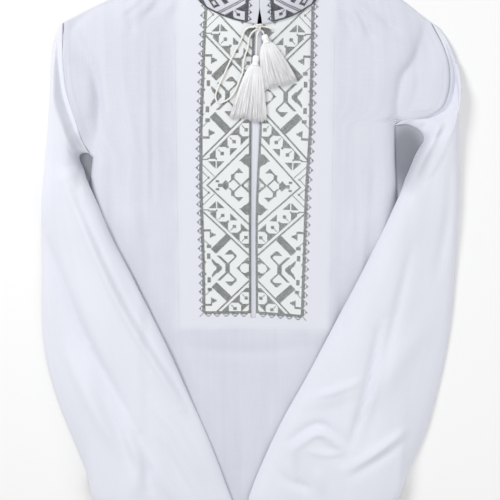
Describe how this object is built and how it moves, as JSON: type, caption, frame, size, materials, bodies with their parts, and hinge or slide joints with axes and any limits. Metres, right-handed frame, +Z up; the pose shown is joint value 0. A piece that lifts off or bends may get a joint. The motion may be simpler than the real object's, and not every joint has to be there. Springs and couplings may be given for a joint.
{
  "type": "embroidered folk shirt laid flat",
  "caption": "White stand-collar folk shirt laid flat, sleeves folded over the front, with a cross-stitched bib, neck slit and tasselled tie.",
  "frame": {"origin": "bottom centre of the shirt as it lies, on the surface it rests on, its cord and tassels not counted", "axes": "+Y points from the hem to the collar, +X to the right of someone who looks down on the front, +Z up from the surface"},
  "size_m": [0.557, 0.8162, 0.035],
  "materials": {
    "body_cotton": "fine plain weave, matte",
    "backing": "stiff interlining, matte",
    "collar_cotton": "fine plain weave with counted stitches",
    "sleeve_cotton": "fine plain weave, matte",
    "stitch_thread": "grey stranded embroidery thread, soft sheen",
    "cord_thread": "twisted ivory cord, soft sheen",
    "tassel_thread": "loose white thread, soft sheen"
  },
  "bodies": {
    "root": {"back_panel": "body_cotton", "front_panel": "body_cotton", "bib_backing_left": "backing", "bib_backing_right": "backing", "placket_strip": "body_cotton", "collar": "collar_cotton", "sleeve_left": "sleeve_cotton", "sleeve_right": "sleeve_cotton", "cuff_left": "sleeve_cotton", "cuff_right": "sleeve_cotton", "cord_bow": "cord_thread", "cord_ends": "cord_thread", "cord_knot": "cord_thread", "tassel_lower": "tassel_thread", "tassel_upper": "tassel_thread"}
  },
  "joints": []
}
